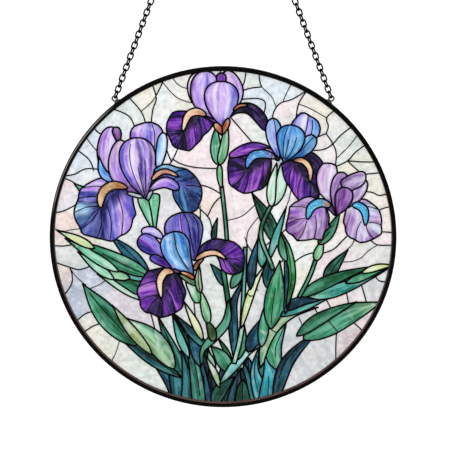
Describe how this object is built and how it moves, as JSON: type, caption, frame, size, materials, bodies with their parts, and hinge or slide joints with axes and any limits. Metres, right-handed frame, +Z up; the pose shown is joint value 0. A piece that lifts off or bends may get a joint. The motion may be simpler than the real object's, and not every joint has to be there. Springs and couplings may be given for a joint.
{
  "type": "stained glass suncatcher",
  "caption": "Round leaded glass panel with purple and blue irises among green leaves on a pale ground, in a black metal rim, hung from a ring by two chains.",
  "frame": {"origin": "top of the hanging ring's hole, where the hook bears", "axes": "+Z up; the panel hangs in the XZ plane and its picture faces -Y"},
  "size_m": [0.305, 0.0066, 0.5344],
  "materials": {
    "black_came": "blackened metal, satin",
    "black_steel": "blackened steel wire, satin",
    "dark_green": "streaky opalescent sheet glass, polished",
    "deep_blue": "streaky opalescent sheet glass, polished",
    "deep_violet": "streaky opalescent sheet glass, polished",
    "lavender": "streaky opalescent sheet glass, polished",
    "leaf_green": "streaky opalescent sheet glass, polished",
    "lilac": "streaky opalescent sheet glass, polished",
    "mint": "streaky opalescent sheet glass, polished",
    "opal": "streaky opalescent sheet glass, polished",
    "patina_lead": "soldered lead with black patina, dull",
    "periwinkle": "streaky opalescent sheet glass, polished",
    "plum": "streaky opalescent sheet glass, polished",
    "sage": "streaky opalescent sheet glass, polished",
    "sky_blue": "streaky opalescent sheet glass, polished",
    "teal": "streaky opalescent sheet glass, polished",
    "violet": "streaky opalescent sheet glass, polished"
  },
  "bodies": {
    "root": {"came": "black_came", "centre_inner_leaf": "teal", "centre_leaf": "leaf_green", "fan_inner_leaf": "leaf_green", "fan_left_leaf": "teal", "fan_middle_leaf": "teal", "fan_right_leaf": "leaf_green", "fan_tall_leaf": "dark_green", "ground_1": "opal", "ground_10": "opal", "ground_2": "opal", "ground_3": "opal", "ground_4": "opal", "ground_5": "opal", "ground_6": "opal", "ground_7": "opal", "ground_8": "opal", "ground_9": "opal", "hanging_ring": "black_steel", "iris_far_front_petal": "plum", "iris_far_left_fall": "lilac", "iris_far_right_fall": "lilac", "iris_far_right_petal": "lilac", "iris_far_stem": "leaf_green", "iris_left_bract": "mint", "iris_left_front_petal": "lavender", "iris_left_left_fall": "periwinkle", "iris_left_left_petal": "lavender", "iris_left_right_fall": "deep_blue", "iris_left_right_petal": "periwinkle", "iris_low_back_petal": "periwinkle", "iris_low_front_petal": "sky_blue", "iris_low_left_fall": "violet", "iris_low_left_petal": "periwinkle", "iris_low_right_fall": "violet", "iris_right_bract": "mint", "iris_right_front_petal": "sky_blue", "iris_right_left_fall": "violet", "iris_right_left_petal": "lavender", "iris_right_right_fall": "violet", "iris_right_right_petal": "sky_blue", "iris_top_bract": "mint", "iris_top_front_petal": "lavender", "iris_top_left_fall": "violet", "iris_top_left_petal": "lavender", "iris_top_right_fall": "deep_violet", "iris_top_stem": "leaf_green", "lead_network": "patina_lead", "left_chain": "black_steel", "left_loop": "black_steel", "left_middle_leaf": "mint", "left_top_leaf": "dark_green", "low_left_dark_leaf": "dark_green", "right_chain": "black_steel", "right_dark_leaf": "teal", "right_loop": "black_steel", "right_middle_leaf": "sage", "right_upper_leaf": "leaf_green"}
  },
  "joints": []
}
